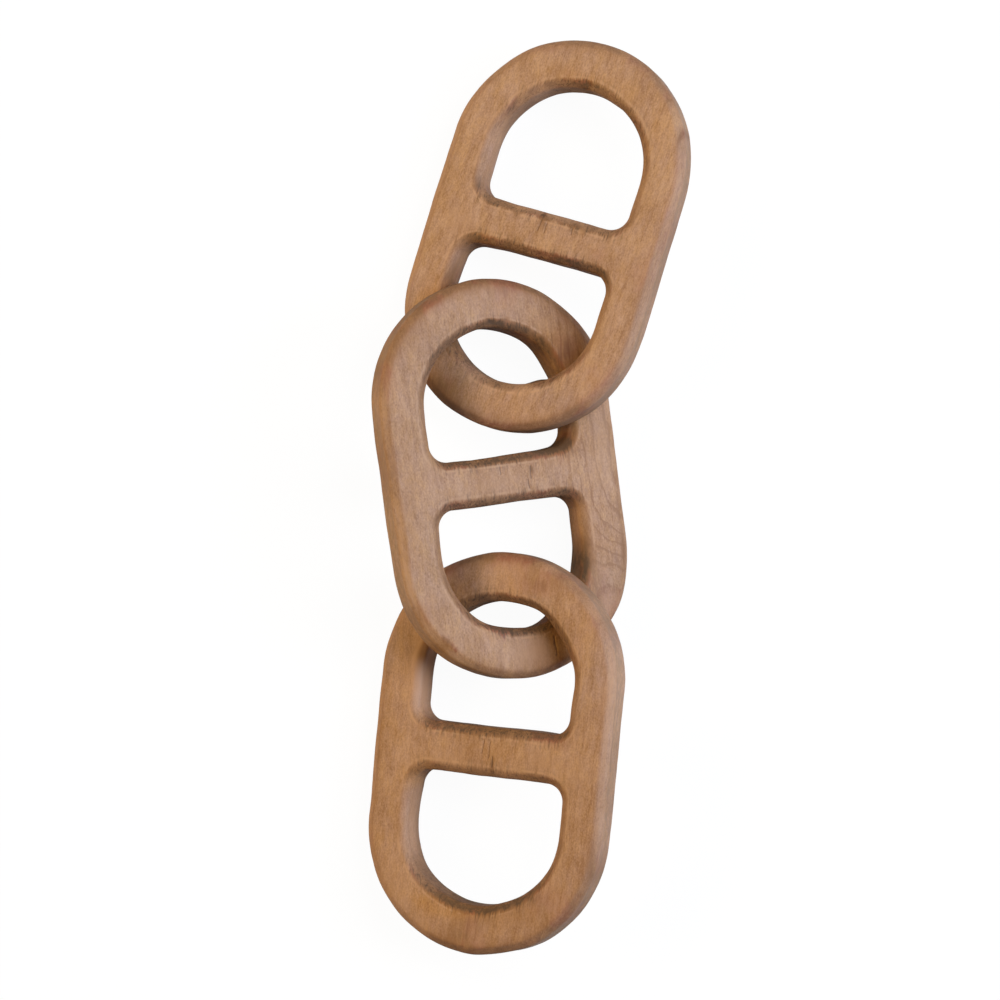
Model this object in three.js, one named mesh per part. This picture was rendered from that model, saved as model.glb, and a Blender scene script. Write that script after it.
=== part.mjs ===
// Decorative wooden chain of three flat links, carved already hooked through one another.
// Each link is a long ring with round ends, a bar across its middle and rounded edges.
// The chain lies loose on a level surface. Each link rests on one of its long legs, and its
// other leg is propped up where it lies over its neighbour.
// Millimetres, +Z up, +Y along the chain, origin under the middle of the chain.

import * as THREE from 'three';

// The board the links are carved from, and the rounding along every edge
const THICKNESS = 20;
const EDGE_ROUND = 4.5;

// Room left where two links touch
const CONTACT_GAP = 0.3;

// Upper link: the ring, its legs along the sides, its bows round the ends, and its bar
const UPPER_WIDTH = 120.1;
const UPPER_LENGTH = 196.1;
const UPPER_LEG = 21.3;
const UPPER_BOW = 23.3;
const UPPER_BAR = 22.8;
const UPPER_BAR_SHIFT = -0.2;
const UPPER_CORNER = 9.2;

// Middle link
const MIDDLE_WIDTH = 119.4;
const MIDDLE_LENGTH = 195.9;
const MIDDLE_LEG = 23.2;
const MIDDLE_BOW = 24.5;
const MIDDLE_BAR = 23.5;
const MIDDLE_BAR_SHIFT = -0.3;
const MIDDLE_CORNER = 8.3;

// Lower link
const LOWER_WIDTH = 123.4;
const LOWER_LENGTH = 197;
const LOWER_LEG = 22.2;
const LOWER_BOW = 23.8;
const LOWER_BAR = 23.6;
const LOWER_BAR_SHIFT = 0.8;
const LOWER_CORNER = 8.4;

// How the chain is laid. A heading is the way a link points, counter-clockwise from +Y.
// A bearing is the way from one link's centre to the next one up, clockwise from +Y.
// A slack share is 0 where two hooked bows are pulled tight on each other, and 1 where they
// are pushed apart until one of them meets the other link's bar.
const UPPER_HEADING = -17.2;
const MIDDLE_HEADING = 7.3;
const LOWER_HEADING = -5.7;
const UPPER_BEARING = 11;
const LOWER_BEARING = 1.1;
const UPPER_SLACK_SHARE = 0.7;
const LOWER_SLACK_SHARE = 0.365;

// Finish: waxed honey-brown wood, a shade darker in the middle and lower links
const HONEY_WOOD = 0xb48966;
const FIGURED_WOOD = 0xb18662;
const TAN_WOOD = 0xb28563;
const WOOD_ROUGHNESS = 0.65;

// Fineness of the facets
const BOW_STEPS = 28;
const OPENING_STEPS = 22;
const CORNER_STEPS = 6;
const ROUNDING_STEPS = 5;

// Fineness of the search for the links' resting tilts
const CONTACT_POINTS = 200;
const STEEPEST_TILT = Math.PI / 4;
const HALVINGS = 24;
const SETTLING_ROUNDS = 8;

// The rounding never eats up the whole thickness
const LARGEST_ROUND_SHARE = 0.45;
const edgeRound = Math.min(EDGE_ROUND, THICKNESS * LARGEST_ROUND_SHARE);

// A link's sizes, with the circles of its ends worked out from them
// raised is the side that is propped up, 1 for its right and -1 for its left
function link(name, colour, raised, heading, width, length, leg, bow, bar, barShift, corner) {
  const outerRadius = width / 2;
  const innerRadius = outerRadius - leg;
  return {
    name,
    colour,
    raised,
    heading: THREE.MathUtils.degToRad(heading),
    outerRadius,
    innerRadius,
    outerCentre: length / 2 - outerRadius,
    innerCentre: length / 2 - bow - innerRadius,
    reach: length / 2 - bow,
    bow,
    corner,
    openings: [
      { end: 1, barEdge: bar / 2 + barShift },
      { end: -1, barEdge: bar / 2 - barShift },
    ],
  };
}

function arc(centreX, centreY, radius, start, end, steps) {
  const points = [];
  for (let step = 0; step <= steps; step += 1) {
    const angle = THREE.MathUtils.lerp(start, end, step / steps);
    const x = centreX + radius * Math.cos(angle);
    const y = centreY + radius * Math.sin(angle);
    points.push(new THREE.Vector2(x, y));
  }
  return points;
}

// The ring's outside, drawn in by inset
function outsidePoints(ring, inset) {
  const radius = ring.outerRadius - inset;
  return [
    ...arc(0, ring.outerCentre, radius, 0, Math.PI, BOW_STEPS),
    ...arc(0, -ring.outerCentre, radius, Math.PI, 2 * Math.PI, BOW_STEPS),
  ];
}

// One of the two D-shaped openings, let out by inset: a round bow and a straight bar edge
// with a small round corner at each end of it
function openingPoints(ring, opening, inset) {
  const quarter = Math.PI / 2;
  const cornerX = ring.innerRadius - ring.corner;
  const cornerY = opening.barEdge + ring.corner;
  const cornerRadius = ring.corner + inset;
  const bowRadius = ring.innerRadius + inset;
  const points = [
    ...arc(cornerX, cornerY, cornerRadius, -quarter, 0, CORNER_STEPS),
    ...arc(0, ring.innerCentre, bowRadius, 0, Math.PI, OPENING_STEPS),
    ...arc(-cornerX, cornerY, cornerRadius, Math.PI, 3 * quarter, CORNER_STEPS),
  ];
  return points.map((point) => point.multiplyScalar(opening.end));
}

// The flat ring with its two openings, with every edge rounded over
function linkGeometry(ring) {
  const outline = new THREE.Shape(outsidePoints(ring, 0));
  outline.holes = ring.openings.map((opening) => new THREE.Path(openingPoints(ring, opening, 0)));
  const depth = THICKNESS - 2 * edgeRound;
  const geometry = new THREE.ExtrudeGeometry(outline, {
    depth,
    steps: 1,
    bevelEnabled: true,
    bevelThickness: edgeRound,
    bevelSize: edgeRound,
    bevelOffset: -edgeRound,
    bevelSegments: ROUNDING_STEPS,
  });
  return geometry.translate(0, 0, -depth / 2);
}

// The lines that the edge roundings are swept along, above and below the ring's middle
function roundingLines(ring) {
  const loops = [
    outsidePoints(ring, edgeRound),
    ...ring.openings.map((opening) => openingPoints(ring, opening, edgeRound)),
  ];
  const level = THICKNESS / 2 - edgeRound;
  return loops.flatMap((loop) => {
    const spaced = new THREE.Path([...loop, loop[0]]).getSpacedPoints(CONTACT_POINTS);
    return spaced.flatMap(({ x, y }) => [
      new THREE.Vector3(x, y, level),
      new THREE.Vector3(x, y, -level),
    ]);
  });
}

// Distance out of a corner made by two faces, from the distances out of each face
function cornerDistance(first, second) {
  const outside = Math.hypot(Math.max(first, 0), Math.max(second, 0));
  return outside + Math.min(Math.max(first, second), 0);
}

// Distance from a point in the ring's plane to its wood, less than zero inside the wood
function planDistance(ring, x, y) {
  const pastLegs = Math.max(Math.abs(y) - ring.outerCentre, 0);
  let distance = Math.hypot(x, pastLegs) - ring.outerRadius;
  for (const { end, barEdge } of ring.openings) {
    const along = y * end;
    const across = Math.hypot(x, Math.max(along - ring.innerCentre, 0));
    const pastSide = across - (ring.innerRadius - ring.corner);
    const shortOfBar = barEdge + ring.corner - along;
    distance = Math.max(distance, ring.corner - cornerDistance(pastSide, shortOfBar));
  }
  return distance;
}

// Distance from a point in space to the ring's wood
function woodDistance(ring, point) {
  const local = point.clone().applyMatrix4(ring.fromWorld);
  const outward = planDistance(ring, local.x, local.y) + edgeRound;
  const upward = Math.abs(local.z) - (THICKNESS / 2 - edgeRound);
  return cornerDistance(outward, upward) - edgeRound;
}

// Lays a ring down at a tilt, with the long edge of its lower leg on the surface
function lay(ring, tilt) {
  ring.roll = -ring.raised * tilt;
  const halfWidth = (ring.outerRadius - edgeRound) * Math.sin(tilt);
  const halfThickness = (THICKNESS / 2 - edgeRound) * Math.cos(tilt);
  ring.centre.z = edgeRound + halfWidth + halfThickness;
  const turn = new THREE.Quaternion().setFromEuler(turned(ring));
  ring.toWorld.compose(ring.centre, turn, new THREE.Vector3(1, 1, 1));
  ring.fromWorld.copy(ring.toWorld).invert();
}

function turned(ring) {
  return new THREE.Euler(0, ring.roll, ring.heading, 'ZYX');
}

// Least distance between two rings on one side of the middle link's centre
function gapBetween(first, second, side) {
  let gap = Infinity;
  for (const [edged, facing] of [[first, second], [second, first]]) {
    for (const point of edged.lines) {
      const placed = point.clone().applyMatrix4(edged.toWorld);
      if (placed.x * side > 0) {
        gap = Math.min(gap, woodDistance(facing, placed) - edgeRound);
      }
    }
  }
  return gap;
}

// Lets a ring down on its neighbours, to the least tilt at which its raised leg clears them
function settle(ring, neighbours) {
  let tooLow = 0;
  let clear = STEEPEST_TILT;
  for (let halving = 0; halving < HALVINGS; halving += 1) {
    const tilt = (tooLow + clear) / 2;
    lay(ring, tilt);
    const gaps = neighbours.map((neighbour) => gapBetween(ring, neighbour, ring.raised));
    if (Math.min(...gaps) < CONTACT_GAP) {
      tooLow = tilt;
    } else {
      clear = tilt;
    }
  }
  lay(ring, clear);
}

// How far a bow can slide along the opening it is hooked into, at the end of a ring
function play(ring, end, bow) {
  const { barEdge } = ring.openings.find((opening) => opening.end === end);
  return ring.reach - barEdge - bow;
}

// Where an end link's centre lies, seen from the middle link's, with end 1 for the link above
function centreFrom(middle, ring, end, bearing, slack) {
  const room = Math.min(play(middle, end, ring.bow), play(ring, -end, middle.bow));
  const distance = middle.reach + ring.reach - slack * room;
  const angle = THREE.MathUtils.degToRad(bearing);
  const way = new THREE.Vector3(Math.sin(angle), Math.cos(angle), 0);
  return way.multiplyScalar(distance * end);
}

const upper = link(
  'upper_link', HONEY_WOOD, 1, UPPER_HEADING, UPPER_WIDTH, UPPER_LENGTH,
  UPPER_LEG, UPPER_BOW, UPPER_BAR, UPPER_BAR_SHIFT, UPPER_CORNER,
);
const middle = link(
  'middle_link', FIGURED_WOOD, -1, MIDDLE_HEADING, MIDDLE_WIDTH, MIDDLE_LENGTH,
  MIDDLE_LEG, MIDDLE_BOW, MIDDLE_BAR, MIDDLE_BAR_SHIFT, MIDDLE_CORNER,
);
const lower = link(
  'lower_link', TAN_WOOD, 1, LOWER_HEADING, LOWER_WIDTH, LOWER_LENGTH,
  LOWER_LEG, LOWER_BOW, LOWER_BAR, LOWER_BAR_SHIFT, LOWER_CORNER,
);
upper.centre = centreFrom(middle, upper, 1, UPPER_BEARING, UPPER_SLACK_SHARE);
middle.centre = new THREE.Vector3();
lower.centre = centreFrom(middle, lower, -1, LOWER_BEARING, LOWER_SLACK_SHARE);

const rings = [upper, middle, lower];
for (const ring of rings) {
  ring.lines = roundingLines(ring);
  ring.toWorld = new THREE.Matrix4();
  ring.fromWorld = new THREE.Matrix4();
  lay(ring, 0);
}

// Each link's tilt depends on its neighbours' tilts, so they settle in turn
for (let round = 0; round < SETTLING_ROUNDS; round += 1) {
  settle(middle, [upper, lower]);
  settle(upper, [middle]);
  settle(lower, [middle]);
}

const chain = new THREE.Group();
for (const ring of rings) {
  const wood = new THREE.MeshStandardMaterial({
    color: ring.colour,
    roughness: WOOD_ROUGHNESS,
    metalness: 0,
  });
  const mesh = new THREE.Mesh(linkGeometry(ring), wood);
  mesh.name = ring.name;
  mesh.position.copy(ring.centre);
  mesh.rotation.copy(turned(ring));
  chain.add(mesh);
}

// The origin goes under the middle of the laid chain, on the surface it lies on
const bounds = new THREE.Box3().setFromObject(chain, true);
const origin = bounds.getCenter(new THREE.Vector3()).setZ(bounds.min.z);
for (const mesh of chain.children) {
  mesh.position.sub(origin);
}

export default chain;
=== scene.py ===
import math

import bpy
import numpy as np
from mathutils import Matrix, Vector, noise
from mathutils.geometry import delaunay_2d_cdt


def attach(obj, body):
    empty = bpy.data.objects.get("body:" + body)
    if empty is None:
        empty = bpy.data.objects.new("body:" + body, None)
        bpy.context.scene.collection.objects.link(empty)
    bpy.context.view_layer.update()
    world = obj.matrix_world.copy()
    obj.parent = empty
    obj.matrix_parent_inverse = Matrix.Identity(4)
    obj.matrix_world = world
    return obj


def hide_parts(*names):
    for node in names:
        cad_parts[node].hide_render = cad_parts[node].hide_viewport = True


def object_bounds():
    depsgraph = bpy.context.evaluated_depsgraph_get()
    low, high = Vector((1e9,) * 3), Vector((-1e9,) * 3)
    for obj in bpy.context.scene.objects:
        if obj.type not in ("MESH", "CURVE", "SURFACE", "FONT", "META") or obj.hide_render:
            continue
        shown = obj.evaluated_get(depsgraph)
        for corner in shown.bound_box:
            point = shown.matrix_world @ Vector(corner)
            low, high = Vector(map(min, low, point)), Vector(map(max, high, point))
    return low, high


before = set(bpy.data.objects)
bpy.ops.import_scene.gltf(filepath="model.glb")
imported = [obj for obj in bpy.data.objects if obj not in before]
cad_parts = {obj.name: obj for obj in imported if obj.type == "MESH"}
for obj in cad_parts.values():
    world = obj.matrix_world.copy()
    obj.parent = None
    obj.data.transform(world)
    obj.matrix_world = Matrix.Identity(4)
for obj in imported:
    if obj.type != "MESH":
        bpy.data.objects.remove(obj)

cad_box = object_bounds()

# The upper link. A flat ring with a bar across it, sawn from a honey-brown board and carved
# already hooked into the middle link, so it is one piece with no joint. Its edges are pared
# to a soft facet, sanded and waxed, and old stain has stayed along its rims.
MM = 0.001
ROUNDING = 4.5 * MM
SLOPE_STEP = 0.1 * MM
ARC_STEPS = 160


class Link:
    """A link's own plane, where across is x, along is y and out of its face is z.

    Its outline follows from its node's outer size and these, in mm: the width of a leg, which
    is a long side of the ring, of a bow, which is a round end, and of the bar, how far the bar
    is shifted along the link, and the radius of the corners beside it.
    """

    def __init__(self, node, leg, bow, bar, bar_shift, corner):
        self.node = node
        points = np.array([vertex.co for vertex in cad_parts[node].data.vertices])
        self.middle = (points.min(axis=0) + points.max(axis=0)) / 2
        along, up = self.ways(points)
        self.axes = np.stack([np.cross(along, up), along, up])
        width, length, thickness = np.ptp((points - self.middle) @ self.axes.T, axis=0)
        self.half_thickness = thickness / 2
        self.outer_radius = width / 2
        self.outer_centre = length / 2 - self.outer_radius
        self.inner_radius = self.outer_radius - leg * MM
        self.inner_centre = length / 2 - bow * MM - self.inner_radius
        self.corner = corner * MM
        self.bar_edges = [(end, (bar / 2 + end * bar_shift) * MM) for end in (1, -1)]

    def ways(self, points):
        """The way the link points, and the way its face looks, from how its node spreads."""
        spreads, ways = np.linalg.eigh(np.cov(points.T))
        along, up = ways[:, np.argmax(spreads)], ways[:, np.argmin(spreads)]
        return along * np.sign(along[1]), up * np.sign(up[2])

    def laid(self, points):
        """Points of the link's own plane, as places in the room."""
        return self.middle + points @ self.axes

    def distances(self, x, y):
        """How far points of the plane lie outside the ring, and how far inside an opening."""
        past = np.maximum(np.abs(y) - self.outer_centre, 0)
        outer = np.hypot(x, past) - self.outer_radius
        opening = np.full(np.shape(x), -np.inf)
        for end, bar_edge in self.bar_edges:
            across = np.hypot(x, np.maximum(y * end - self.inner_centre, 0))
            side = across - (self.inner_radius - self.corner)
            bar = bar_edge + self.corner - y * end
            corner = np.hypot(np.maximum(side, 0), np.maximum(bar, 0))
            inside = self.corner - corner - np.minimum(np.maximum(side, bar), 0)
            opening = np.maximum(opening, inside)
        return outer, opening

    def way_out(self, points):
        """The way out of the wood in the plane, towards the nearest rim."""
        slopes = []
        for ahead in np.eye(2) * SLOPE_STEP:
            before = np.maximum(*self.distances(*(points[:, :2] - ahead).T))
            after = np.maximum(*self.distances(*(points[:, :2] + ahead).T))
            slopes.append((after - before) / (2 * SLOPE_STEP))
        return np.stack([*slopes, np.zeros(len(points))], axis=1)

    def wood_distance(self, places):
        """How far places in the room lie from the link's wood."""
        local = (places - self.middle) @ self.axes.T
        plan = np.maximum(*self.distances(local[:, 0], local[:, 1])) + ROUNDING
        height = np.abs(local[:, 2]) - self.half_thickness + ROUNDING
        outside = np.hypot(np.maximum(plan, 0), np.maximum(height, 0))
        return outside + np.minimum(np.maximum(plan, height), 0) - ROUNDING

    def outlines(self):
        """The outside counter-clockwise, then each opening clockwise."""
        half, quarter = math.pi, math.pi / 2
        reach = self.inner_radius - self.corner
        loops = [
            arc(0, self.outer_centre, self.outer_radius, 0, half)
            + arc(0, -self.outer_centre, self.outer_radius, half, 2 * half)
        ]
        for end, bar_edge in self.bar_edges:
            height = bar_edge + self.corner
            loop = (
                arc(reach, height, self.corner, -quarter, 0)
                + arc(0, self.inner_centre, self.inner_radius, 0, half)
                + arc(-reach, height, self.corner, half, 3 * quarter)
            )
            loops.append([(x * end, y * end) for x, y in reversed(loop)])
        return loops


def arc(centre_x, centre_y, radius, start, end):
    turns = np.linspace(start, end, ARC_STEPS)
    return [(centre_x + radius * math.cos(t), centre_y + radius * math.sin(t)) for t in turns]


SPACING = 0.95 * MM
ROUNDING_ROWS = 6
WALL_ROWS = 11


def evenly(loop):
    """Evenly spaced points round a loop, and the way out of the wood at each of them."""
    closed = np.array(loop + loop[:1])
    run = np.append(0, np.cumsum(np.linalg.norm(np.diff(closed, axis=0), axis=1)))
    count = round(run[-1] / SPACING)
    at = np.arange(count) * run[-1] / count
    line = np.stack([np.interp(at, run, closed[:, axis]) for axis in (0, 1)], axis=1)
    ahead = np.roll(line, -1, axis=0) - np.roll(line, 1, axis=0)
    out = np.stack([ahead[:, 1], -ahead[:, 0]], axis=1)
    return line, out / np.linalg.norm(out, axis=1, keepdims=True)


def section(link):
    """The rows of a wall from the upper face to the lower: how far out, how high, its slope."""
    top = link.half_thickness - ROUNDING
    turns = np.linspace(math.pi / 2, 0, ROUNDING_ROWS + 1)
    upper = [(math.cos(t) * ROUNDING - ROUNDING, top + math.sin(t) * ROUNDING, t) for t in turns]
    wall = [(0, height, 0) for height in np.linspace(top, -top, WALL_ROWS + 2)[1:-1]]
    lower = [(inset, -height, -t) for inset, height, t in reversed(upper)]
    return upper + wall + lower


def link_walls(link):
    """The walls' points, the ways out, the faces, and the rims at the upper and lower face."""
    points, outs, faces, upper_rims, lower_rims = [], [], [], [], []
    rows = section(link)
    for loop in link.outlines():
        line, out = evenly(loop)
        first = len(points) + np.arange(len(line))
        rings = [first + row * len(line) for row in range(len(rows))]
        for inset, height, turn in rows:
            points += [(x, y, height) for x, y in line + out * inset]
            outs += [(x, y, math.sin(turn)) for x, y in out * math.cos(turn)]
        for above, below in zip(rings, rings[1:]):
            faces += zip(above, below, np.roll(below, -1), np.roll(above, -1))
        upper_rims.append(rings[0])
        lower_rims.append(rings[-1])
    return points, outs, faces, upper_rims, lower_rims


CHECK_WIDTH = 0.8 * MM
CHECK_STEP = 0.5 * MM
CHECK_WAVE = 6 * MM
ON_A_LINE = 0.1 * MM
SAME_POINT = 1e-9


def check_lines(x, low, high):
    """The left, middle and right line of a check, a narrow crack that runs with the grain."""
    y = np.arange(low * MM, high * MM, CHECK_STEP)
    wobble = [noise.noise(Vector((x, at / CHECK_WAVE, 0))) * CHECK_WIDTH for at in y]
    centre = x * MM + np.array(wobble)
    return [np.stack([centre + side * CHECK_WIDTH / 2, y], axis=1) for side in (-1, 0, 1)]


def lattice(link, lines):
    """Evenly spread points of the face, clear of the walls and of the checks' lines."""
    wide, high = link.outer_radius, link.outer_centre + link.outer_radius
    rows = np.arange(-high, high, SPACING * math.sqrt(3) / 2)
    columns = np.arange(-wide, wide, SPACING)
    x, y = np.meshgrid(columns, rows)
    x[1::2] += SPACING / 2
    points = np.stack([x.ravel(), y.ravel()], axis=1)
    clear = np.maximum(*link.distances(*points.T)) < -ROUNDING - SPACING / 2
    for line in lines:
        away = np.linalg.norm(points[:, None] - line[None], axis=2).min(axis=1)
        clear &= away > SPACING / 3
    return points[clear]


def face_triangles(link, flat, rims, lines):
    """Triangles between a face's points, with its rims and its checks' lines as edges."""
    edges, start = [], 0
    for rim in rims:
        edges += [(start + i, start + (i + 1) % len(rim)) for i in range(len(rim))]
        start += len(rim)
    start = len(flat) - sum(len(line) for line in lines)
    for line in lines:
        edges += [(start + i, start + i + 1) for i in range(len(line) - 1)]
        start += len(line)
    corners = [Vector(point) for point in flat]
    triangles = delaunay_2d_cdt(corners, edges, [], 0, SAME_POINT)[2]
    centres = np.array([flat[triangle].mean(axis=0) for triangle in triangles])
    on_wood = np.maximum(*link.distances(*centres.T)) < -ROUNDING
    return [triangle for triangle, kept in zip(triangles, on_wood) if kept]


def link_shape(link, lines):
    """A link's points in its own plane, the way out of the wood at each, and its faces."""
    points, outs, faces, upper_rims, lower_rims = link_walls(link)
    inner = np.concatenate([lattice(link, lines), *lines])
    flat = np.concatenate([np.array(points)[np.concatenate(upper_rims), :2], inner])
    triangles = face_triangles(link, flat, upper_rims, lines)
    for side, rims in ((1, upper_rims), (-1, lower_rims)):
        indices = np.append(np.concatenate(rims), len(points) + np.arange(len(inner)))
        points += [(x, y, side * link.half_thickness) for x, y in inner]
        outs += [(0, 0, side)] * len(inner)
        faces += [tuple(indices[triangle[::side]]) for triangle in triangles]
    return np.array(points), np.array(outs), faces


def wander(points, seed, size):
    """A smooth value from about -1 to 1 at each point, that changes over a size."""
    return np.array([noise.noise(Vector(point / size) + Vector((seed, 0, 0))) for point in points])


def spread(points, spots):
    """The sum of soft oval spots, each by its place, half width, half length and height."""
    total = np.zeros(len(points))
    for x, y, wide, long, height in spots:
        away = np.hypot((points[:, 0] / MM - x) / wide, (points[:, 1] / MM - y) / long)
        total += height * np.exp(-away**2)
    return total


# The face's crown, the size and height of each kind of unevenness, and the pared facet, of
# which this share is cut on average.
CROWN = 0.45 * MM
CROWN_REACH = 3.5 * MM
UNDULATIONS = [(38 * MM, 0.5 * MM), (11 * MM, 0.18 * MM), (3.5 * MM, 0.05 * MM)]
FACET_HALF = math.radians(31)
FACET_SIZE = 24 * MM
FACET_SHARE = 0.75
CHECK_DEPTH = 0.35 * MM


def facet(outs):
    """How far a flat facet, midway between face and wall, lies below the round edge."""
    lean = np.abs(np.arcsin(np.clip(np.abs(outs[:, 2]), 0, 1)) - math.pi / 4)
    return ROUNDING * np.maximum(0, 1 - math.cos(FACET_HALF) / np.cos(lean))


def carving(board, outs, inset, seed, chips, cracks):
    """How far hand work has raised or sunk each point: a crowned face, pared edges, nicks."""
    push = -CROWN * np.exp(-np.maximum(inset - ROUNDING, 0) / CROWN_REACH) * outs[:, 2] ** 2
    push -= facet(outs) * np.clip(FACET_SHARE + wander(board, seed, FACET_SIZE), 0, 1)
    for size, height in UNDULATIONS:
        push += wander(board, seed, size) * height
    return push - spread(board, chips) * MM * (board[:, 2] > 0) - cracks * CHECK_DEPTH


def crack_marks(board, outs, lines):
    """1 at the upper face's points that lie on one of the lines, and 0 elsewhere."""
    cracks = np.zeros(len(board))
    for x, y in np.concatenate(lines):
        there = np.hypot(board[:, 0] - x, board[:, 1] - y) < ON_A_LINE
        cracks[there & (outs[:, 2] == 1)] = 1
    return cracks


SWING_EDGE = 4 * MM
SWING_LENGTH = 18 * MM


def growth_rings(board, pith, swing):
    """How far from the tree's pith each point grew, with one swing of the rings on the way."""
    pith_x, pith_z, lean = pith
    swing_x, swing_y, swing_by = swing
    ring = np.hypot(board[:, 0] - pith_x * MM - lean * board[:, 1], board[:, 2] - pith_z * MM)
    past = 1 / (1 + np.exp((swing_x * MM - board[:, 0]) / SWING_EDGE))
    return ring + swing_by * MM * np.tanh((board[:, 1] - swing_y * MM) / SWING_LENGTH) * past


def link_mesh(name, places, faces, marks):
    """A mesh that carries marks at its points, numbers or threes, for its material to read."""
    mesh = bpy.data.meshes.new(name)
    mesh.from_pydata(places.tolist(), [], faces)
    mesh.shade_smooth()
    for mark, values in marks.items():
        kind, field = ("FLOAT", "value") if values.ndim == 1 else ("FLOAT_VECTOR", "vector")
        attribute = mesh.attributes.new(mark, kind, "POINT")
        attribute.data.foreach_set(field, values.astype(np.float32).ravel())
    mesh.validate()
    return mesh


SWELL_DEPTH = 10 * MM
FREE_ROOM = 4 * MM
# How far from a neighbour link its painted shade and painted warm bounce light reach, how strong
# they are, and how much painted shade a ledge gets.
SHELTER = 12 * MM
SHELTER_SHADE = 0.2
SHELTER_BOUNCE_LIGHT = 0.6
LEDGE_SHADE = 0.3


def build_link(
    link, seed, neighbours, pith, checks, smudges, tints, swells,
    swing=(0, 0, 0), chips=(), ledges=(),
):
    """A link's mesh, carved a little unevenly and laid where its node lies.

    Places and sizes are in mm in the link's own plane. The pith of its tree is given by x, z
    and its lean, a swing of the growth rings by x, y and how far it goes, and a check by x and
    its two ends. The rest are soft oval spots, each x, y, half width, half length and height.
    A smudge is stained, or less stained and lighter where its height is below 0; some smudges
    are painted shade beside a neighbour link. A tint is pinker, or more golden; some tints are
    painted warm light bounced from a neighbour. A swell widens the wood at its rims, or narrows
    it, and a ledge widens its lower half alone and is painted darker as shade. A chip sinks the
    face.
    """
    all_lines = [check_lines(*check) for check in checks]
    board, outs, faces = link_shape(link, [line for lines in all_lines for line in lines])
    cracks = crack_marks(board, outs, [centre for _, centre, _ in all_lines])
    outer, opening = (-distance for distance in link.distances(board[:, 0], board[:, 1]))
    inset = np.minimum(outer, opening)
    way_out = link.way_out(board)
    place = link.laid(board)
    closeness = np.min([other.wood_distance(place) for other in neighbours], axis=0)

    # The carving gives way where the table or a neighbour is close, so that nothing cuts in.
    free = np.clip(np.minimum(place[:, 2], closeness) / FREE_ROOM, 0, 1)
    push = carving(board, outs, inset, seed, chips, cracks) * free
    ledge = spread(board, ledges) * np.clip(-board[:, 2] / ROUNDING, 0, 1)
    swell = (spread(board, swells) + ledge) * MM * np.exp(-((inset / SWELL_DEPTH) ** 2))
    shift = outs * push[:, None] + way_out * np.minimum(swell, swell * free)[:, None]
    carved = np.clip(link.laid(board + shift), *np.array(cad_box))

    above = np.clip((board[:, 2] + link.half_thickness) / ROUNDING, 0, 1)
    # Painted shade and painted warm light: near a neighbour link the wood is darkened and turned
    # golden, standing in for the shade there and the orange light the neighbour bounces. A ledge's
    # mark adds painted shade too.
    sheltered = np.clip(1 - closeness / SHELTER, 0, 1)
    smudge = spread(board, smudges) * above + sheltered * SHELTER_SHADE + ledge * LEDGE_SHADE
    tint = spread(board, tints) * above - sheltered * SHELTER_BOUNCE_LIGHT
    mesh = link_mesh(link.node + "_wood", carved, faces, {
        "board": board,
        "rims": np.stack([outer, opening, np.abs(way_out[:, 1])], axis=1),
        "marks": np.stack([smudge, tint, cracks], axis=1),
        "growth": growth_rings(board, pith, swing),
    })
    piece = bpy.data.objects.new(link.node + "_carved", mesh)
    bpy.context.scene.collection.objects.link(piece)
    return piece


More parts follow.
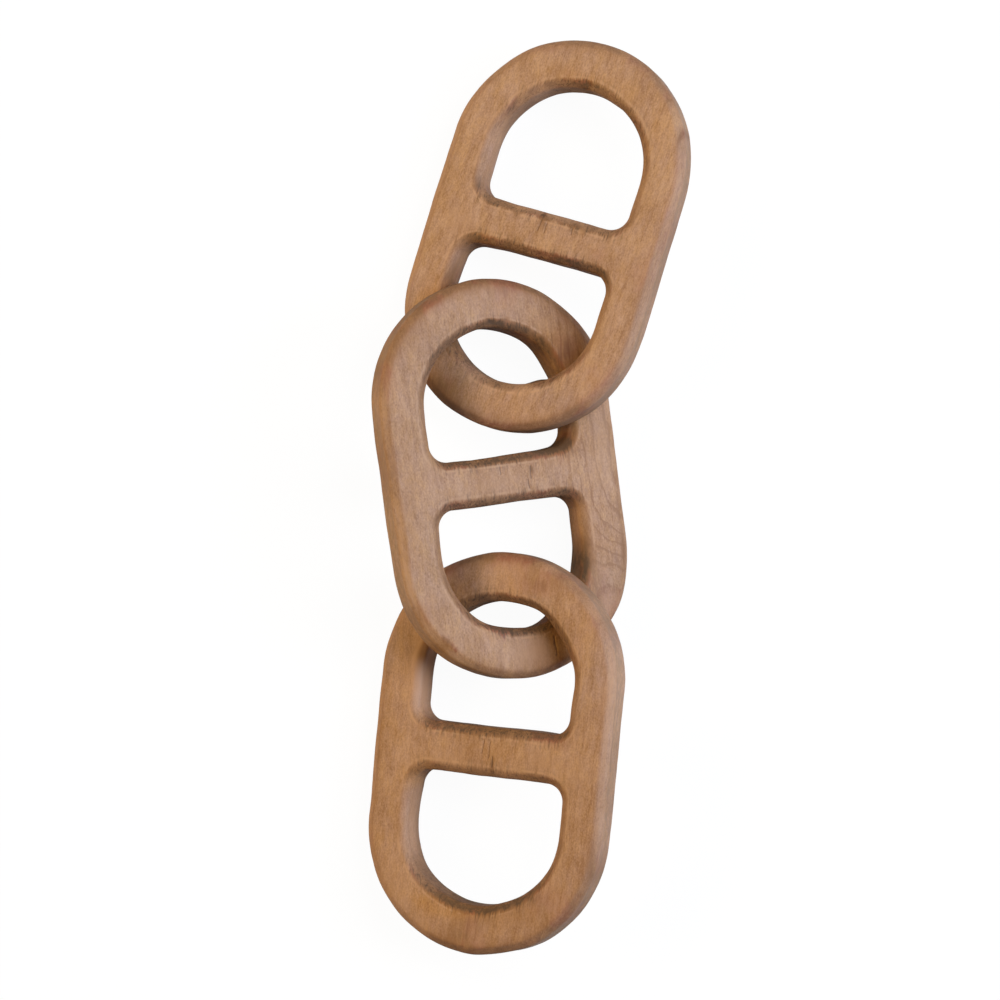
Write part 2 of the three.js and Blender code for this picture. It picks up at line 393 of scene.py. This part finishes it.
class Shade:
    """A value or colour in a material, so that its maths reads as an expression."""

    def __init__(self, tree, socket=None):
        self.tree = tree
        self.socket = socket

    def node(self, kind, settings, inputs, output=0):
        """Any node: its settings first, then values or links for its sockets."""
        made = self.tree.nodes.new(kind)
        for name, value in settings.items():
            setattr(made, name, value)
        for name, value in inputs.items():
            if isinstance(value, Shade):
                self.tree.links.new(value.socket, made.inputs[name])
            else:
                made.inputs[name].default_value = value
        return Shade(self.tree, made.outputs[output]) if made.outputs else None

    def maths(self, operation, first, second=0.0):
        return self.node("ShaderNodeMath", {"operation": operation}, {0: first, 1: second})

    def __add__(self, other):
        return self.maths("ADD", self, other)

    __radd__ = __add__

    def __sub__(self, other):
        return self.maths("SUBTRACT", self, other)

    def __rsub__(self, other):
        return self.maths("SUBTRACT", other, self)

    def __mul__(self, other):
        return self.maths("MULTIPLY", self, other)

    __rmul__ = __mul__

    def __truediv__(self, other):
        return self.maths("DIVIDE", self, other)

    def larger(self, other):
        return self.maths("MAXIMUM", self, other)

    def smaller(self, other):
        return self.maths("MINIMUM", self, other)

    def between(self, low, high):
        """0 at low, 1 at high, smooth between."""
        settings = {"interpolation_type": "SMOOTHSTEP"}
        inputs = {"Value": self, "From Min": low, "From Max": high}
        return self.node("ShaderNodeMapRange", settings, inputs)

    def fade(self, full, gone):
        """1 where it is full, smooth down to 0 where it is gone."""
        return 1 - self.between(full, gone)

    def near(self, place, reach):
        """1 at a place, smoothly down to 0 at a reach from it."""
        return self.maths("ABSOLUTE", self - place).fade(full=0, gone=reach)

    def attribute(self, name, output="Vector"):
        return self.node("ShaderNodeAttribute", {"attribute_name": name}, {}, output)

    def parts(self):
        return [self.node("ShaderNodeSeparateXYZ", {}, {0: self}, axis) for axis in "XYZ"]

    def grain(self, across, along, detail, roughness, seed):
        """Noise over the board, of one size in mm across its grain and another along it."""
        size = Vector((across, along, across)) * MM
        place = self.node("ShaderNodeVectorMath", {"operation": "DIVIDE"}, {0: self, 1: size})
        inputs = {"Vector": place, "W": seed, "Scale": 1, "Detail": detail, "Roughness": roughness}
        return self.node("ShaderNodeTexNoise", {"noise_dimensions": "4D"}, inputs)

    def times(self, tone):
        """This colour, seen through another."""
        return self.node("ShaderNodeVectorMath", {"operation": "MULTIPLY"}, {0: self, 1: tone})

    def mix(self, first, second, amount):
        """The first colour, with an amount of the second laid over it."""
        first, second = ((*c, 1) if isinstance(c, tuple) else c for c in (first, second))
        inputs = {0: amount, 6: first, 7: second}
        return self.node("ShaderNodeMix", {"data_type": "RGBA"}, inputs, 2)


WALL_EDGE = 1.2 * MM


class Board:
    """What a link's mesh says of each place on it, and the patterns of its wood there."""

    def __init__(self, start, seed):
        place = start.attribute("board")
        self.across, _, self.height = place.parts()
        self.outer, self.opening, self.end_grain = start.attribute("rims").parts()
        self.smudge, self.tint, self.crack = start.attribute("marks").parts()
        self.ring = start.attribute("growth", "Fac")
        self.wall = self.opening.smaller(self.outer).fade(full=0, gone=WALL_EDGE)
        self.outer_wall = self.outer.fade(full=0, gone=WALL_EDGE)
        self.side_grain = 1 - self.end_grain
        self.clouds = place.grain(across=13, along=26, detail=2, roughness=0.65, seed=seed)
        self.fibres = place.grain(across=2.4, along=9, detail=3, roughness=0.7, seed=seed + 1)
        self.lines = place.grain(across=0.7, along=5, detail=1, roughness=0.5, seed=seed + 2)
        self.pores = place.grain(across=0.6, along=0.9, detail=0, roughness=0.5, seed=seed + 3)
        self.blush = place.grain(across=6, along=13, detail=4, roughness=0.85, seed=seed + 4)
        self.ticks = place.grain(across=0.8, along=11, detail=1, roughness=0.5, seed=seed + 5)
        flecks = place.grain(across=0.9, along=3, detail=1, roughness=0.5, seed=seed + 6)
        strokes = place.grain(across=0.85, along=12, detail=0, roughness=0.5, seed=seed + 7)
        mottle = place.grain(across=1.8, along=4, detail=3, roughness=0.75, seed=seed + 8)
        self.flecks = flecks.between(0.6, 0.7)
        self.strokes = strokes.between(0.58, 0.66)
        self.mottle = mottle.between(0.35, 0.65)


# The middle of a pattern or of a tint, and tones that multiply the wood's own colour.
EVEN = 0.5
DARKER = (0.76, 0.69, 0.61)
LIGHTER = (1.24, 1.31, 1.39)
GOLDEN = (1, 0.96, 0.8)
PINK = (1, 1.03, 1.2)
# How much each pattern lightens or darkens the wood, and how its growth lines are drawn.
MEAN_LIGHT = 0.57
CLOUD_LIGHT = 1.4
FIBRE_LIGHT = 1.2
LINE_LIGHT = 0.8
PORE_LIGHT = 1.1
FLECK_DARK = 0.25
YEAR = 4.6 * MM
YEAR_WAVER = 1.2
FAINT_LINES = 0.12
CLEAR_LINES_FROM = 15 * MM
CLEAR_LINES_TO = 45 * MM


def tinted(colour, tone):
    """A plain colour, seen through another."""
    return tuple(part * share for part, share in zip(colour, tone))


def bare_wood(start, board, colour, growth_lines):
    """Wood before its stain: light and dark grain, and patches of golden and of pink."""
    year = start.maths("FRACT", board.ring / YEAR + board.clouds * YEAR_WAVER)
    late_wood = year.between(0.7, 0.95) * year.fade(full=0.95, gone=1)
    clear_lines = board.across.between(CLEAR_LINES_FROM, CLEAR_LINES_TO) * growth_lines
    light = (
        MEAN_LIGHT
        + (board.clouds - EVEN) * CLOUD_LIGHT
        + (board.fibres - EVEN) * FIBRE_LIGHT
        + (board.lines - EVEN) * LINE_LIGHT
        + (board.pores - EVEN) * PORE_LIGHT
        - late_wood * (FAINT_LINES + clear_lines)
        - board.flecks * FLECK_DARK
    )
    patches = board.blush.between(0.28, 0.72)
    patched = start.mix(tinted(colour, GOLDEN), tinted(colour, PINK), patches)
    return patched.times(start.mix(DARKER, LIGHTER, light))


# The stains from light to dark, and the tones of the tints, the amber also standing for painted
# warm light bounced from a neighbour.
TEA = (0.33, 0.155, 0.065)
MADDER = (0.33, 0.125, 0.06)
UMBER = (0.12, 0.064, 0.033)
AMBER = (1.06, 0.98, 0.74)
ROSE = (0.95, 1.01, 1.28)
# How far the stain's edge strays, how much of it the wood draws in, and how well it covers.
RAGGED_ENDS = 4 * MM
RAGGED_SIDES = 3 * MM
CLOUDY_RIM = 5 * MM
SIDE_GRAIN_DRAWS = 0.22
END_GRAIN_DRAWS = 0.6
LEAST_SOAKED = 0.4
BLUSH_SOAKED = 1.2
LEAST_SMEARED = 0.35
INNER_TEA = 0.8
INNER_HALO = 0.2
OUTER_TEA = 0.65
OUTER_UMBER = 0.45
CREASE_TEA = 0.3
WALL_TEA = 0.12
UMBER_COVER = 0.66
SMEAR_COVER = 0.5
STROKE_COVER = 0.5
OUTER_STROKES = 0.3


def stained_wood(start, board, bare):
    """Bare wood with its old stain, deepest in the end grain along the rims, with the painted
    shade and painted warm bounce light that its marks carry, and its strength.
    """
    ragged = (board.ticks - EVEN) * board.end_grain * RAGGED_ENDS
    ragged += (board.fibres - EVEN) * RAGGED_SIDES
    cloudy = (board.clouds - EVEN) * CLOUDY_RIM
    inner_rim = board.opening + ragged + cloudy
    outer_rim = board.outer + ragged + cloudy
    # The smudges' mark brings its painted shade, near neighbours and under ledges, into the stain
    # from here on.
    drawn = SIDE_GRAIN_DRAWS * (1 - board.wall) + END_GRAIN_DRAWS * board.end_grain + board.smudge
    soaked = drawn * (LEAST_SOAKED + board.blush.between(0.3, 0.7) * BLUSH_SOAKED)

    inner_tea = inner_rim.fade(full=3.2 * MM, gone=5.2 * MM) * INNER_TEA
    inner_halo = inner_rim.fade(full=3 * MM, gone=8 * MM) * INNER_HALO
    outer_tea = outer_rim.fade(full=0.8 * MM, gone=8 * MM) * OUTER_TEA
    tea = (inner_tea + inner_halo).larger(outer_tea) * soaked
    crease = board.outer.near(place=3.2 * MM, reach=1 * MM) * board.side_grain
    crease *= board.fibres.between(0.4, 0.55)
    smeared_and_shaded = board.smudge * (LEAST_SMEARED + board.ticks)
    stain = start.mix(TEA, MADDER, board.clouds.between(0.48, 0.62))
    light_stain = tea + smeared_and_shaded + crease * CREASE_TEA + board.wall * WALL_TEA

    inner_umber = inner_rim.fade(full=1.6 * MM, gone=4.6 * MM)
    outer_umber = outer_rim.fade(full=0, gone=4 * MM) * OUTER_UMBER
    umber = inner_umber.larger(outer_umber) * soaked
    inner_strokes = board.opening.fade(full=4.5 * MM, gone=8.5 * MM)
    outer_strokes = board.outer.fade(full=2 * MM, gone=6 * MM) * OUTER_STROKES
    strokes = board.strokes * ((inner_strokes + outer_strokes) * board.end_grain)
    dark_stain = (
        umber * UMBER_COVER + smeared_and_shaded.between(0.3, 1) * SMEAR_COVER + strokes * STROKE_COVER
    )
    stained = start.mix(start.mix(bare, stain, light_stain), UMBER, dark_stain)
    # The tints' tones, with their painted warm light bounced from neighbours.
    return stained.times(start.mix(AMBER, ROSE, EVEN + board.tint)), tea


# A crack's colour, the pale of rubbed edges that also serves as a painted highlight on the outer
# chamfers, and a dark colour for dirt and painted shade low on the walls.
CRACK = (0.06, 0.03, 0.016)
RUBBED_AND_LIT = (1.25, 1.27, 1.32)
GRIME_AND_SHADE = (0.2, 0.135, 0.085)
CRACK_COVER = 0.6
WORN_COVER = 0.7
CHAMFER_FROM = 4.5 * MM
CHAMFER_TO = 6.5 * MM
LEAST_BRIGHT = 0.02
MOTTLE_BRIGHT = 0.52
LOW_GRIME_AND_SHADE = 0.45
SIDE_SHADE = 0.4


def worn_wood(start, board, stained, colour):
    """Stained wood with cracks, edges rubbed pale, a painted highlight on the outer chamfers,
    dirt and painted shade low on its inner walls, painted shade low on its outer walls, and its
    wear.
    """
    cracked = start.mix(stained, CRACK, board.crack * CRACK_COVER)
    patchy = (board.blush + board.fibres).between(0.85, 1.1)
    worn = board.opening.near(place=5 * MM, reach=1.1 * MM) * patchy
    outer_edge = board.outer.fade(full=1.6 * MM, gone=2.8 * MM)
    chamfer = board.height.between(CHAMFER_FROM, CHAMFER_TO) * outer_edge
    # A painted highlight, partly real rubbing: a pale band along the outer chamfers.
    bright = chamfer * board.side_grain * (LEAST_BRIGHT + board.mottle * MOTTLE_BRIGHT)
    rubbed_and_lit = worn * WORN_COVER + bright - board.smudge
    edged = start.mix(cracked, tinted(colour, RUBBED_AND_LIT), rubbed_and_lit)
    # Darker towards the bottom of the inner walls, partly dirt and partly painted shade, and a
    # painted shade band low on the outer walls beneath the chamfer.
    low_grime_and_shade = board.height.fade(full=-9 * MM, gone=2 * MM) * LOW_GRIME_AND_SHADE
    side_shade = board.height.fade(full=4 * MM, gone=6 * MM) * board.outer_wall * (1 - board.mottle)
    grime_and_shade = (low_grime_and_shade * (board.wall - board.outer_wall)).larger(side_shade * SIDE_SHADE)
    return start.mix(edged, GRIME_AND_SHADE, grime_and_shade), worn


WAX_ROUGHNESS = 0.56
TEA_ROUGHNESS = 0.12
PORE_ROUGHNESS = 0.1
WORN_SMOOTHNESS = 0.08
LINE_RELIEF = 0.6
PORE_RELIEF = 0.5


def wood(name, colour, seed, growth_lines):
    """Waxed wood with its grain along the board, and old stain left along the rims."""
    material = bpy.data.materials.new(name)
    material.use_nodes = True
    material.node_tree.nodes.clear()
    start = Shade(material.node_tree)
    board = Board(start, seed)
    bare = bare_wood(start, board, colour, growth_lines)
    stained, tea = stained_wood(start, board, bare)
    finished, worn = worn_wood(start, board, stained, colour)
    bump = start.node("ShaderNodeBump", {}, {
        "Strength": 0.35,
        "Distance": 0.12 * MM,
        "Height": board.fibres + board.lines * LINE_RELIEF + board.pores * PORE_RELIEF,
    })
    roughness = WAX_ROUGHNESS + tea * TEA_ROUGHNESS + board.pores * PORE_ROUGHNESS
    shader = start.node("ShaderNodeBsdfPrincipled", {}, {
        "Base Color": finished,
        "Roughness": roughness - worn * WORN_SMOOTHNESS,
        "Normal": bump,
    })
    start.node("ShaderNodeOutputMaterial", {}, {"Surface": shader})
    return material


def finish_link(piece, link, material):
    piece.data.materials.append(material)
    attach(piece, "root")
    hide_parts(link.node)


# The middle link's outline stands here too, because the upper link was carved clear of it.
upper = Link("upper_link", leg=21.3, bow=23.3, bar=22.8, bar_shift=-0.2, corner=9.2)
middle = Link("middle_link", leg=23.2, bow=24.5, bar=23.5, bar_shift=-0.3, corner=8.3)
upper_piece = build_link(
    upper,
    seed=3,
    neighbours=[middle],
    pith=(-14, -46, 0.05),
    checks=[(-2.6, 1.5, 6.6), (0.4, 0.8, 6.6), (14, 3.5, 6.5)],
    chips=[(-1, 77.2, 1.8, 1.3, 0.6)],
    smudges=[
        # Upper bow
        (-23, 67, 8, 5, -0.25),
        (-12, 80, 12, 3, 0.3),
        (-1.5, 76.8, 2.2, 1.8, 0.7),
        (10, 76, 18, 7, -0.2),
        (28, 92, 6, 2.5, 0.2),
        (40, 83, 5, 4, 0.2),
        (48, 72, 8, 10, -0.15),
        (52.6, 65, 1.1, 5, 0.45),
        # Left leg
        (-41, 38, 5, 7, -0.12),
        (-43, -6, 8, 7, -0.35),
        (-39, -24, 4, 10, -0.35),
        (-38.7, -26, 2.5, 9, 0.6),
        # Bar
        (-32, -9, 6, 4, 0.35),
        (-2.4, 8.5, 0.9, 2.5, 0.7),
        (-2, 5, 2, 4, 0.5),
        (2, 11, 28, 3, -0.35),
        (14, 7, 4, 2.5, 0.2),
        (22, -9, 16, 4, 0.3),
        (31, -2, 6, 6, 0.3),
        # Right leg
        (60, 17, 4, 12, 0.25),
        (54, -9, 7, 14, 0.32),
        (44, -38, 6, 9, -0.25),
        # Lower bow
        # Painted shade beside the middle link.
        (-28, -86, 13, 7, 0.75),
        (-12, -76, 10, 6, -0.3),
        (-5, -93, 40, 6, 0.3),
        (13, -75, 8, 5, -0.4),
        (44, -78, 10, 7, 0.25),
        (47, -59, 7, 8, 0.3),
    ],
    tints=[
        # Upper bow
        (0, 78, 24, 5, -0.35),
        (41, 68, 6, 14, -0.3),
        # Left leg
        (-57, -46, 5, 10, 0.5),
        # Bar
        # Painted warm light bounced from the middle link into the bar's corner.
        (-29, -12, 7, 5, -0.7),
        (21, -11, 10, 5, 0.5),
        # Lower bow
        # Painted warm light bounced from the middle link.
        (-25, -87, 12, 7, -0.6),
        (3, -95, 18, 4, 0.4),
        (31, -75, 10, 8, 0.4),
    ],
    swells=[
        # Upper bow
        (-46, 72, 18, 20, -1),
        (-30, 62, 14, 22, 0.9),
        (-8, 74, 9, 8, 0.5),
        (13, 73, 12, 8, 0.7),
        (24, 92, 16, 14, 0.55),
        # Left leg
        (-60, 0, 10, 34, 0.6),
        # Bar
        (-34, -14, 11, 11, 1.25),
        (-20, 10, 12, 5, -0.5),
        (22, -12, 22, 6, -0.7),
        # Right leg
        (57, 52, 18, 22, -0.7),
        (38, 22, 7, 18, 0.5),
        (60, -25, 10, 14, 0.5),
        # Lower bow
        (-50, -65, 16, 24, -0.6),
    ],
    # The ledge also carries painted shade.
    ledges=[(18, -71, 9, 6, 2.6)],
)
honey_wood = wood("honey_wood", (0.457, 0.250, 0.134), seed=0.13, growth_lines=0.1)
finish_link(upper_piece, upper, honey_wood)

# The middle link. The same kind of ring with a bar, sawn where the board shows its growth
# lines, which cross its right leg. It hooks through both of the others, lies tilted the other
# way between them, and has small nicks along its upper bow.
lower = Link("lower_link", leg=22.2, bow=23.8, bar=23.6, bar_shift=0.8, corner=8.4)
middle_piece = build_link(
    middle,
    seed=11,
    neighbours=[upper, lower],
    pith=(18, -60, -0.04),
    swing=(38, -42, 14),
    checks=[(-3.2, 2, 6), (11, -6.5, -2), (12.4, -1.5, 5), (14, -89, -79)],
    chips=[(2, 76, 1.8, 1.3, 0.8), (6.2, 75.8, 1.4, 1.1, 0.6), (9.4, 76.4, 1.6, 1, 0.5)],
    smudges=[
        # Upper bow
        (-43, 76, 12, 12, 0.25),
        (-42, 90, 20, 5, 0.2),
        (-31, 88, 10, 5, 0.3),
        (0, 95, 40, 6, 0.3),
        (2, 76.3, 2, 1.3, 0.9),
        (6.1, 76, 1.6, 1.2, 0.9),
        (9.4, 76.4, 2, 1.2, 0.7),
        (11, 91, 7, 4, 0.3),
        (11, 85, 14, 6, 0.3),
        (14, 73, 14, 6, 0.15),
        (20, 72, 1.3, 1, 0.7),
        (25.5, 61.5, 4, 5, 0.5),
        # Painted shade beside the upper link.
        (30, 64, 9, 9, 0.12),
        (30, 72, 7, 5, -0.45),
        # Painted shade beside the upper link.
        (40, 60, 8, 10, 0.5),
        (42, 75, 7, 6, 0.3),
        # Left leg
        (-55, 57, 5, 9, 0.3),
        (-60, 10, 4, 18, 0.25),
        (-57, -18, 5, 20, -0.25),
        (-58, -50, 6, 12, -0.25),
        # Bar
        (-38, 13, 4, 6, -0.5),
        (-10, -2, 10, 6, -0.3),
        (0, 11, 34, 3, 0.2),
        (12.9, 2.5, 1.5, 3.2, 1),
        (17, 10, 5, 3, 0.3),
        (26, 11, 7, 4, 0.35),
        # Painted shade in the corner by the bar, in this spot and the next.
        (32, 13, 7, 7, 0.5),
        (32, 12, 4, 4, 0.3),
        (36, -12, 6, 4, 0.3),
        # Right leg
        (39, 58, 4, 6, 0.3),
        (53, 15, 7, 14, -0.35),
        (47, -3, 8, 9, -0.2),
        (56.5, -42, 1.5, 8, 0.5),
        (36, -42, 2.5, 9, 0.4),
        # Painted shade beside the lower link.
        (37, -48, 8, 14, 0.4),
        # Lower bow
        (-50, -70, 7, 10, -0.3),
        (-50, -61, 8, 8, 0.35),
        # Painted shade where the lower link touches.
        (-44, -79, 4, 4, 0.25),
        (-43, -73.4, 0.9, 1.6, 1),
        (-41.2, -75.4, 0.9, 1.6, 1.1),
        (-41, -81, 6, 5, -0.3),
        (-39.4, -77.4, 0.9, 1.6, 1.1),
        (-38, -86, 6, 3, -0.3),
        (-37.7, -79.6, 0.9, 1.6, 1),
        (-12, -75.6, 0.7, 2.4, 1.2),
        (-7.6, -75.8, 0.7, 2.2, 1.2),
        (0, -74, 22, 5, 0.3),
        (4, -86, 13, 7, -0.8),
        (4, -79, 9, 4, -0.3),
        # Painted shade under the lower link's edge.
        (17, -83, 4, 12, 0.35),
        (41, -62, 8, 12, 0.45),
    ],
    tints=[
        # Upper bow
        # Painted warm light bounced from the upper link.
        (30, 62, 11, 10, -0.7),
        # Left leg
        (-58, -10, 3, 60, 0.5),
        (-58, -49, 6, 12, 0.3),
        # Bar
        # Painted warm light bounced into the bar's corner, in this spot and the next.
        (30, 12, 6, 5, -0.7),
        (35, 16, 7, 6, -0.7),
        # Right leg
        # Painted warm light bounced from the lower link.
        (36, -48, 4, 14, -0.5),
        # Lower bow
        # Painted warm light bounced from the lower link.
        (-43, -79, 5, 4, -0.5),
        (4, -83, 11, 8, 0.5),
        # Painted warm light bounced from the lower link.
        (17, -84, 10, 9, -0.9),
    ],
    swells=[
        # Upper bow
        (0, 73, 8, 8, -0.7),
        (43, 78, 16, 16, -0.7),
        # Left leg
        (-38, 28, 8, 18, -0.75),
        (-60, 25, 8, 12, 0.5),
        (-39, -28, 8, 14, -1.2),
        (-60, -34, 12, 28, -1),
        # Bar
        (-14, -12, 16, 6, 0.7),
        (-12, 11, 18, 6, -0.75),
        (34, 14, 10, 9, 1.6),
        # Right leg
        (33, 51, 9, 11, 1.5),
        (37, -29, 8, 16, 0.6),
        (35, -47, 8, 9, 1.2),
        # Lower bow
        (-22, -68, 11, 9, -1),
        (-3, -97, 16, 8, 0.6),
        (9, -72, 8, 8, -1.3),
        (52, -66, 10, 12, 0.7),
    ],
)
figured_wood = wood("figured_wood", (0.441, 0.240, 0.122), seed=0.57, growth_lines=0.42)
finish_link(middle_piece, middle, figured_wood)

# The lower link. The third ring with its bar, of a tan board stained a little more evenly. It
# hooks through the middle link alone, and its long outer edges are pared to a crisp chamfer
# that is rubbed pale and carries a painted highlight.
lower_piece = build_link(
    lower,
    seed=23,
    neighbours=[middle],
    pith=(-8, -52, 0.03),
    checks=[(2.8, -5.9, -1), (-2.5, 0, 6.5), (0.6, -2, 6)],
    smudges=[
        # Upper bow
        (-29.5, 87, 3, 3.6, 0.3),
        (-4, 95, 26, 5, 0.4),
        (5, 74, 26, 4, -0.15),
        (16, 85, 11, 7, 0.45),
        (20, 84, 9, 5, 0.25),
        (22, 94, 7, 4, -0.4),
        (35, 59, 6, 9, 0.3),
        (47, 69, 5, 5, 0.25),
        (50, 78, 8, 8, -0.25),
        # Left leg
        (-40, 45, 4, 8, -0.5),
        (-39, 43, 4, 8, -0.4),
        (-40, 34, 5, 18, -0.9),
        (-58, -9, 1.3, 4, 0.5),
        (-39, -42, 5, 22, -0.35),
        # Bar
        (-36, -12, 5, 3, 0.35),
        (-34, -11, 6, 5, -0.45),
        (-20, 9, 9, 4, 0.25),
        (-17, -5, 9, 5, -0.4),
        (-10, 10, 8, 4, 0.35),
        (2, 2, 10, 5, 0.15),
        (2.9, -5, 0.9, 3, 0.8),
        (3, -4, 2, 3, 0.2),
        (8, -10, 30, 4, -0.25),
        (28, 0, 8, 6, -0.4),
        (33, 10, 9, 4, 0.25),
        (37, 11, 7, 6, 0.3),
        # Right leg
        (60, 44, 5, 14, -0.3),
        (61, 30, 4, 26, -0.25),
        (45, -4, 9, 10, -0.25),
        (59.5, -47, 1.8, 10, 0.4),
        # Lower bow
        (-47, -70, 8, 8, -0.3),
        (-37, -80, 9, 9, -0.2),
        (-27, -88, 8, 5, -0.35),
        (-15, -73, 14, 4, 0.2),
        (-12, -69, 2, 2, 0.5),
        (-4, -91, 12, 4, 0.25),
        (-3, -88, 10, 8, 0.45),
        (4, -82, 9, 5, 0.3),
        (14, -77, 24, 8, 0.3),
        (26, -67, 8, 4, 0.3),
        (39, -67, 15, 9, 0.45),
    ],
    tints=[
        # Upper bow
        (18, 74, 9, 6, 0.5),
        # Left leg
        # Painted warm light bounced from the middle link.
        (-38, 48, 3, 9, -0.6),
        (-57, 45, 4, 12, 0.4),
        # Bar
        # Painted warm light bounced into the bar's corner.
        (-39, -16, 6, 5, -0.7),
        (-32, -11, 6, 5, -0.5),
        (0, 12, 24, 3, -0.4),
        (2, 2, 12, 6, -0.3),
        # Right leg
        (54, 48, 6, 16, 0.5),
        (43, 30, 5, 8, 0.4),
        # Lower bow
        (-36, -83, 10, 8, 0.4),
        (-16, -77, 16, 6, -0.6),
        (-3, -76, 22, 4, -0.5),
    ],
    swells=[
        # Upper bow
        (-22, 94, 16, 12, -0.7),
        (20, 71, 9, 8, -1.4),
        # Left leg
        (-57, 52, 10, 14, -0.5),
        (-60, -27, 12, 30, -0.8),
        # Bar
        (-38, -16, 9, 8, 1.2),
        (-5, -11, 24, 6, 0.65),
        (20, 13, 16, 6, 0.9),
        # Right leg
        (41, 46, 8, 11, -1.2),
        (41, -27, 8, 18, -0.8),
        (38, -54, 9, 12, -0.9),
        # Lower bow
        (-31, -60, 11, 13, -1.2),
        (14, -96, 10, 8, -0.7),
        (14, -72, 10, 8, 0.7),
        (35, -88, 9, 9, 0.4),
    ],
)
tan_wood = wood("tan_wood", (0.447, 0.239, 0.125), seed=0.91, growth_lines=0.1)
finish_link(lower_piece, lower, tan_wood)

# The table. A wide plain white top, as in a studio, so brightly lit that the chain's shadows
# on it all but wash out. It carries the chain and is no part of it.
TABLE_REACH = 30
TABLE_COLOUR = (0.85, 0.85, 0.85, 1)
TABLE_GLARE = 0.93
GLARE_STRENGTH = 1.03
corners = [(x * TABLE_REACH, y * TABLE_REACH, 0) for x, y in ((-1, -1), (1, -1), (1, 1), (-1, 1))]
table_mesh = bpy.data.meshes.new("table")
table_mesh.from_pydata(corners, [], [(0, 1, 2, 3)])
table = bpy.data.objects.new("table", table_mesh)
bpy.context.scene.collection.objects.link(table)
table_top = bpy.data.materials.new("table_top")
table_top.use_nodes = True
table_top.node_tree.nodes.clear()
sheet = Shade(table_top.node_tree)
seen = sheet.node("ShaderNodeLightPath", {}, {}, "Is Camera Ray")
paint = sheet.node("ShaderNodeBsdfDiffuse", {}, {"Color": TABLE_COLOUR})
glare = sheet.node("ShaderNodeEmission", {}, {"Strength": GLARE_STRENGTH})
top = sheet.node("ShaderNodeMixShader", {}, {0: seen * TABLE_GLARE, 1: paint, 2: glare})
sheet.node("ShaderNodeOutputMaterial", {}, {"Surface": top})
table_mesh.materials.append(table_top)

# The light. Four large soft lamps: a cool one to the right like a window with another high
# above it, a warm one to the left, and a weak one behind. The room beyond is plain white.
room = bpy.data.worlds.new("room")
room.use_nodes = True
room.node_tree.nodes.clear()
air = Shade(room.node_tree)
beyond = air.node("ShaderNodeLightPath", {}, {}, "Is Camera Ray")
backdrop = air.node("ShaderNodeBackground", {}, {"Strength": beyond})
air.node("ShaderNodeOutputWorld", {}, {"Surface": backdrop})
bpy.context.scene.world = room
LAMP_SIZE = 1.0
LAMP_DISTANCE = 2.0


def soft_lamp(name, azimuth, elevation, power, colour):
    """A round soft lamp aimed at the chain. Azimuth runs counter-clockwise from +X."""
    data = bpy.data.lights.new(name, "AREA")
    data.shape = "DISK"
    data.size = LAMP_SIZE
    data.energy = power
    data.color = colour
    lamp = bpy.data.objects.new(name, data)
    azimuth, elevation = math.radians(azimuth), math.radians(elevation)
    level = math.cos(elevation)
    way = Vector((level * math.cos(azimuth), level * math.sin(azimuth), math.sin(elevation)))
    lamp.location = way * LAMP_DISTANCE
    lamp.rotation_euler = way.to_track_quat("Z", "Y").to_euler()
    bpy.context.scene.collection.objects.link(lamp)


soft_lamp("window", azimuth=0, elevation=35, power=27.3, colour=(0.69, 0.81, 1.0))
soft_lamp("skylight", azimuth=30, elevation=60, power=16.4, colour=(0.88, 0.91, 1.0))
soft_lamp("lamp", azimuth=180, elevation=35, power=16.6, colour=(1.0, 0.70, 0.31))
soft_lamp("back_wall", azimuth=135, elevation=35, power=9.6, colour=(1.0, 1.0, 0.75))

# The camera. It looks straight down from well above, so the links show almost without
# perspective, framed as in the photograph.
LENS_LENGTH = 125.06
SENSOR_WIDTH = 36
CAMERA_PLACE = (-14.204 * MM, -1.691 * MM, 1734.4 * MM)
camera_data = bpy.data.cameras.new("camera")
camera_data.lens = LENS_LENGTH
camera_data.sensor_width = SENSOR_WIDTH
camera = bpy.data.objects.new("camera", camera_data)
camera.location = CAMERA_PLACE
bpy.context.scene.collection.objects.link(camera)
bpy.context.scene.camera = camera
bpy.context.scene.view_settings.view_transform = "Standard"
